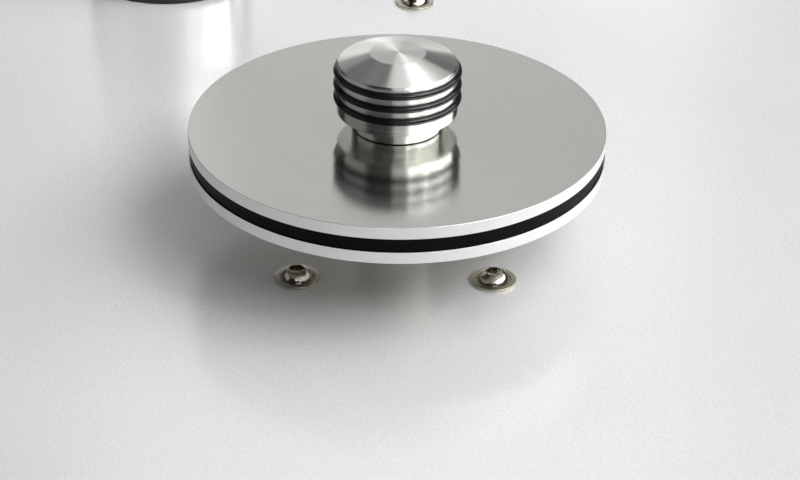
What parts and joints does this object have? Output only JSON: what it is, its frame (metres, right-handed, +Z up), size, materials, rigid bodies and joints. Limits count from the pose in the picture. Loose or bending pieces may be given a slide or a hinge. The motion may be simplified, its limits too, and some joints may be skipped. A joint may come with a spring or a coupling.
{
  "type": "record cleaning machine",
  "caption": "Flat metal case with a label-size platter under a screwed label clamp, and a sprung suction arm that swings over the record and drains to a tank.",
  "frame": {"origin": "on the ground under the feet, in the middle of the whole machine's bounding box", "axes": "+Z up along the platter's axis, -Y towards the user and the rocker switches, +X to the user's right"},
  "size_m": [0.372, 0.3896, 0.226],
  "materials": {
    "deck_plate": "fine satin blasted, clear anodised",
    "front_fascia": "fine satin blasted, clear anodised",
    "black_sheet": "fine textured black powder coat",
    "corner_post": "drawn, satin anodised",
    "foot_rubber": "matt moulded rubber",
    "gear_case": "machined casting",
    "motor_case": "black lacquer",
    "steel": "ground",
    "screw_steel": "nickel plated, warm",
    "seal_rubber": "smooth black rubber",
    "turned_aluminium": "fine turned",
    "disc_aluminium": "fine turned, satin",
    "layer_rubber": "smooth black rubber",
    "knob_aluminium": "bright turned",
    "ring_rubber": "smooth black cord",
    "arm_aluminium": "satin anodised",
    "black_plastic": "fine texture",
    "velvet": "short black pile",
    "hose_rubber": "matt hose",
    "tank_plastic": "milky natural plastic",
    "grey_plastic": "moulded, fine texture",
    "turbine_case": "die cast",
    "tap_metal": "nickel plated",
    "switch_plastic": "smooth black moulding"
  },
  "bodies": {
    "case": {"top_plate": "deck_plate", "front_panel": "front_fascia", "rear_panel": "black_sheet", "left_panel": "black_sheet", "right_panel": "black_sheet", "base_plate": "black_sheet", "corner_post_front_left": "corner_post", "corner_post_front_right": "corner_post", "corner_post_rear_right": "corner_post", "corner_post_rear_left": "corner_post", "foot_front_left": "foot_rubber", "foot_front_right": "foot_rubber", "foot_rear_right": "foot_rubber", "foot_rear_left": "foot_rubber", "gearhead": "gear_case", "drive_motor": "motor_case", "shaft_seal": "seal_rubber", "motor_screw_front_left": "screw_steel", "motor_screw_front_right": "screw_steel", "motor_screw_rear_left": "screw_steel", "motor_screw_rear_right": "screw_steel", "tower_gasket": "seal_rubber", "arm_tower": "turned_aluminium", "tower_nut": "steel", "lift_spring": "steel", "arm_hose": "hose_rubber", "waste_tank": "tank_plastic", "tank_lid": "grey_plastic", "turbine_hose": "hose_rubber", "turbine_cover": "grey_plastic", "turbine_motor": "turbine_case", "turbine_screw_front": "screw_steel", "turbine_screw_rear": "screw_steel", "drain_tap": "tap_metal", "motor_switch": "switch_plastic", "vacuum_switch": "switch_plastic", "mains_inlet": "switch_plastic"},
    "platter": {"gear_shaft": "steel", "platter_hub": "turned_aluminium", "platter_disc": "disc_aluminium", "platter_mat": "layer_rubber", "spindle": "steel"},
    "clamp": {"clamp_gasket": "layer_rubber", "clamp_disc": "disc_aluminium", "knob_washer": "layer_rubber", "thrust_ring": "knob_aluminium"},
    "knob": {"clamp_knob": "knob_aluminium", "knob_ring_lower": "ring_rubber", "knob_ring_middle": "ring_rubber", "knob_ring_upper": "ring_rubber"},
    "lift": {"lift_pipe": "steel"},
    "arm": {"arm_head": "turned_aluminium", "arm_tube": "arm_aluminium", "arm_end_plug": "black_plastic", "velvet_strip_front": "velvet", "velvet_strip_rear": "velvet"},
    "impeller": {"fan_impeller": "black_plastic"},
    "tap_lever": {"drain_lever": "black_plastic"},
    "motor_key": {"motor_rocker": "switch_plastic"},
    "vacuum_key": {"vacuum_rocker": "switch_plastic"}
  },
  "joints": [
    {"name": "platter_spin", "type": "hinge", "parent": "case", "child": "platter", "pos_m": [0, -0.02977, 0.197], "axis": [0, 0, 1], "continuous": true},
    {"name": "clamp_lift", "type": "slide", "parent": "platter", "child": "clamp", "axis": [0, 0, 1], "range_m": [0, 0.00699]},
    {"name": "knob_turn", "type": "hinge", "parent": "clamp", "child": "knob", "pos_m": [0, -0.02977, 0.214], "axis": [0, 0, 1], "range_deg": [0, 2520]},
    {"name": "arm_lift", "type": "slide", "parent": "case", "child": "lift", "axis": [0, 0, 1], "range_m": [-0.005, 0], "stiffness_N_per_m": 250, "springref_m": 0.012, "deforming": ["lift_spring"]},
    {"name": "arm_swivel", "type": "hinge", "parent": "lift", "child": "arm", "pos_m": [-0.0715, 0.13173, 0.216], "axis": [0, 0, -1], "range_deg": [0, 66]},
    {"name": "motor_rocker_tilt", "type": "hinge", "parent": "case", "child": "motor_key", "pos_m": [0.096, -0.18477, 0.128], "axis": [1, 0, 0], "range_deg": [-10, 10]},
    {"name": "vacuum_rocker_tilt", "type": "hinge", "parent": "case", "child": "vacuum_key", "pos_m": [0.136, -0.18477, 0.128], "axis": [-1, 0, 0], "range_deg": [0, 20]},
    {"name": "drain_turn", "type": "hinge", "parent": "case", "child": "tap_lever", "pos_m": [-0.107, 0.17078, 0.042], "axis": [0, 0, 1], "range_deg": [0, 90]},
    {"name": "impeller_spin", "type": "hinge", "parent": "case", "child": "impeller", "pos_m": [0.0047, 0.08023, 0.11], "axis": [0, 0, 1], "continuous": true}
  ],
  "couplings": [
    {"joint": "knob_turn", "follows": "clamp_lift", "rad_per_m": 6283.2}
  ]
}
